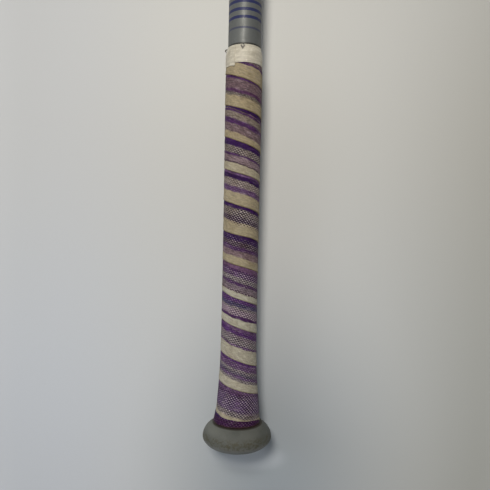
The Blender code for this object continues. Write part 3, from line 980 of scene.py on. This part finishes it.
def build_cloth(surface):
    sections = []
    values = {"along": [], "across": [], "near_tear": []}
    total = math.tau + TAPE_OVERLAP
    for turn in steps_between(0.0, total, TAPE_SECTIONS):
        heights = steps_between(*tape_edges(turn), TAPE_ROWS)
        raised = TAPE_END_LIFT * (1.0 - smooth_step((turn - TAPE_LIFT_END) / TAPE_LIFT_REACH))
        section = []
        for inside, run in ((False, heights), (True, heights[::-1])):
            for height in run:
                hug = smooth_step((height - TAPE_HUG_START) / (TAPE_TOP - TAPE_HUG_START))
                radius = TAPE_RADIUS + (TAPE_TOP_RADIUS - TAPE_RADIUS) * hug + raised
                radius += ripple(TAPE_WRINKLE, turn * 2.0, height * 900.0, 2.0)
                radius += ripple(TAPE_WRINKLE, turn * 9.0, height * 260.0, 5.0)
                tear = near_tear(turn, height)
                radius -= TAPE_THICKNESS if inside else TEAR_DENT * tear
                section.append(around(TAPE_END_ANGLE + turn, radius, height))
                values["along"].append(turn * TAPE_RADIUS)
                values["across"].append(height - TAPE_BOTTOM)
                values["near_tear"].append(tear)
        sections.append(section)
    print(f"finishing tape: {total * TAPE_RADIUS:.3f} m long")
    swept("wound_cloth_tape", sections, surface, ["finishing_tape"], values)


def build_threads(surface):
    """Loose threads at the edges of the finishing tape."""
    corners = [math.tau * step / THREAD_SIDES for step in range(THREAD_SIDES)]
    for number, (thickness, run) in enumerate(THREADS):
        path = [around(math.radians(angle), radius * MM, height * MM) for angle, radius, height in run]
        sections = []
        for index, point in enumerate(path):
            ahead = (path[min(index + 1, len(path) - 1)] - path[max(index - 1, 0)]).normalized()
            side = ahead.cross(Vector(THREAD_ASIDE)).normalized() * thickness
            up = ahead.cross(side).normalized() * thickness
            sections.append([point + side * math.cos(corner) + up * math.sin(corner) for corner in corners])
        swept(f"loose_thread_{number + 1}", sections, surface, [], {})


def knob_profile():
    socket = handle_radius(KNOB_TOP) + GAP
    profile = [(0.0, SOCKET_FLOOR), (socket, SOCKET_FLOOR), (socket, KNOB_TOP - KNOB_RIM_EASE)]
    profile.append((socket + KNOB_RIM_EASE, KNOB_TOP - EDGE_SINK))
    start = math.acos(KNOB_TOP_RADIUS / KNOB_RADIUS)
    for angle in steps_between(start, 0.0, 14):
        fullness = math.sin(angle) / math.sin(start)
        profile.append((KNOB_RADIUS * math.cos(angle), KNOB_EQUATOR + (KNOB_TOP - KNOB_EQUATOR) * fullness))
    last = math.acos(KNOB_FACE_RADIUS / KNOB_RADIUS)
    for angle in steps_between(0.0, last, 20)[1:]:
        depth = KNOB_EQUATOR * math.sin(angle) / math.sin(last)
        profile.append((KNOB_RADIUS * math.cos(angle), KNOB_EQUATOR - depth))
    profile += [(KNOB_FACE_RADIUS * 0.6, 0.0), (0.0, 0.0)]
    return profile


def handle_profile():
    bottom = SOCKET_FLOOR + GAP
    step = JOINT_HEIGHT - GAP
    outside = [(TENON_RADIUS, TENON_END), (TENON_RADIUS, step)]
    outside += [(body_radius(h), h) for h in steps_between(step, TAPER_START, 16)]
    outside += [(body_radius(h), h) for h in steps_between(TAPER_START, FLARE_START, 40)[1:]]
    outside.append((body_radius(FLARE_START), bottom))
    bore = TENON_RADIUS - HANDLE_WALL
    return outside + [(bore, bottom), (bore, TENON_END)]


def collar_profile():
    top = JOINT_HEIGHT + COLLAR_LENGTH - GAP
    inside = TENON_RADIUS + GAP
    outside = [(body_radius(top) - EDGE_SINK, top)]
    for share in steps_between(0.0, 1.0, 24):
        height = top + (JOINT_HEIGHT - top) * share
        ease = min(height - JOINT_HEIGHT, top - height) / COLLAR_EASE
        proud = COLLAR_PROUD * math.sqrt(smooth_step(ease))
        outside.append((body_radius(height) + proud, height))
    outside.append((body_radius(JOINT_HEIGHT) - EDGE_SINK, JOINT_HEIGHT))
    return outside + [(inside, JOINT_HEIGHT), (inside, top)]


def barrel_profile():
    bottom = JOINT_HEIGHT + COLLAR_LENGTH
    top = BAT_LENGTH - CAP_FLANGE - GAP
    outside = [(BARREL_RADIUS - RIM_INTURN, top), (BARREL_RADIUS - RIM_INTURN / 4.0, top - RIM_EASE / 2.0)]
    outside += [(BARREL_RADIUS, h) for h in steps_between(top - RIM_EASE, BARREL_START, 24)]
    outside += [(body_radius(h), h) for h in steps_between(BARREL_START, bottom, 48)[1:]]
    inside = [(body_radius(h) - BARREL_WALL, h) for h in steps_between(bottom, BARREL_START, 16)]
    inside.append((BARREL_RADIUS - BARREL_WALL, top))
    return outside + inside


def cap_profile():
    seat = BAT_LENGTH - CAP_FLANGE
    bottom = seat - CAP_PLUG_LENGTH
    plug = BARREL_RADIUS - BARREL_WALL - GAP
    edge = BARREL_RADIUS - CAP_FACE_RADIUS
    floor = seat - CAP_FLOOR_STEP
    profile = [(0.0, BAT_LENGTH), (CAP_GROOVE_RADIUS * 0.5, BAT_LENGTH)]
    profile.append((CAP_GROOVE_RADIUS - 0.3 * MM, BAT_LENGTH))
    for share in steps_between(0.0, 1.0, 10):
        depth = CAP_GROOVE_DEPTH * math.sin(math.pi * share) ** 0.7
        profile.append((CAP_GROOVE_RADIUS + CAP_GROOVE_WIDTH * share, BAT_LENGTH - depth))
    profile.append((CAP_FACE_RADIUS, BAT_LENGTH))
    for angle in steps_between(0.0, math.pi / 2.0, 14)[1:]:
        drop = (CAP_FLANGE - CAP_EDGE) * (1.0 - math.cos(angle))
        profile.append((CAP_FACE_RADIUS + edge * math.sin(angle), BAT_LENGTH - drop))
    profile += [(BARREL_RADIUS - CAP_RIM_IN, seat + CAP_RIM_UP), (BARREL_RADIUS - RIM_INTURN, seat)]
    profile += [(plug, seat), (plug, bottom + CAP_PLUG_CHAMFER), (plug - CAP_PLUG_CHAMFER / 2.0, bottom)]
    profile += [(plug - CAP_WALL, bottom), (plug - CAP_WALL, floor), (0.0, floor)]
    return profile


def dress(node, surface):
    """Gives a carried-over node a better material."""
    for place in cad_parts[node].material_slots:
        place.material = surface


def build_floor():
    """A plain floor that touches the knob and the barrel, so it tips a little along the bat."""
    near = -KNOB_RADIUS
    tip = (KNOB_RADIUS - BARREL_RADIUS) / (BARREL_START - KNOB_EQUATOR)
    corners = []
    for right, along in ((-1.0, -1.0), (1.0, -1.0), (1.0, 1.0), (-1.0, 1.0)):
        height = along * FLOOR_REACH
        corners.append((right * FLOOR_REACH, height, near + (height - KNOB_EQUATOR) * tip))
    mesh = bpy.data.meshes.new("floor")
    mesh.from_pydata(corners, [], [(0, 1, 2, 3)])
    mesh.materials.append(floor_surface())
    floor = placed("floor", mesh)


def area_light(name, place, target, size, spread, power, colour):
    lamp = bpy.data.lights.new(name, "AREA")
    lamp.shape = "DISK"
    lamp.size = size
    lamp.spread = math.radians(spread)
    lamp.energy = power
    lamp.color = colour
    made = placed(name, lamp)
    made.location = place
    made.rotation_euler = (Vector(target) - Vector(place)).to_track_quat("-Z", "Y").to_euler()


def build_light():
    for lamp in LAMPS:
        area_light(*lamp)
    world = bpy.data.worlds.new("studio")
    bpy.context.scene.world = world
    world.use_nodes = True
    tree = world.node_tree
    background = tree.nodes["Background"]
    background.inputs["Color"].default_value = (*SKY, 1.0)
    strength = tree.nodes.new("ShaderNodeMix")
    tree.links.new(seen_directly(tree), strength.inputs[0])
    strength.inputs[2].default_value = AMBIENT
    strength.inputs[3].default_value = BACKDROP
    tree.links.new(strength.outputs[0], background.inputs["Strength"])


def build_camera():
    view = bpy.data.cameras.new("camera")
    view.sensor_width = SENSOR
    view.lens = CAMERA_LENS
    view.clip_start = CLIP_START
    camera = placed("camera", view)
    axes = Matrix((CAMERA_RIGHT, CAMERA_UP, CAMERA_BACK)).transposed()
    camera.matrix_world = Matrix.Translation(CAMERA_PLACE) @ axes.to_4x4()
    bpy.context.scene.camera = camera


def build_bat():
    silver = lacquer_surface("silver_lacquer_handle", HANDLE_RINGS)
    barrel = lacquer_surface("silver_lacquer_barrel", BARREL_RINGS)
    rubber = rubber_surface()
    carbon = carbon_surface()
    turned("rubber_knob", knob_profile(), knob_surface(), ["knob"], KNOB_DENT)
    turned("painted_handle", handle_profile(), silver, ["handle_tube"])
    turned("rubber_collar", collar_profile(), rubber, ["joint_collar"])
    turned("painted_barrel", barrel_profile(), barrel, ["barrel_shell"])
    turned("moulded_end_cap", cap_profile(), cap_surface(), ["end_cap"])
    build_grip(grip_surface())
    build_cloth(cloth_surface())
    build_threads(thread_surface())
    dress("knob_plug", rubber)
    dress("connection_sleeve", rubber)
    dress("handle_foam_plug", foam_surface())
    dress("barrel_inner_sleeve", carbon)
    dress("barrel_ring", carbon)


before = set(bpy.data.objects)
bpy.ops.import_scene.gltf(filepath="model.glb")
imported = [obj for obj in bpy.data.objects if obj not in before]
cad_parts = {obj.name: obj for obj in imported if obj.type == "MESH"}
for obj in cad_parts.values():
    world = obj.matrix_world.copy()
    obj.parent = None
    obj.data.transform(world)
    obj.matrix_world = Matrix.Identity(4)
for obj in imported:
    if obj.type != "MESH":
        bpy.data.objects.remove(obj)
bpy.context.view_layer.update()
bpy.context.scene.view_settings.view_transform = "Standard"
build_camera()
build_light()
build_floor()
build_bat()
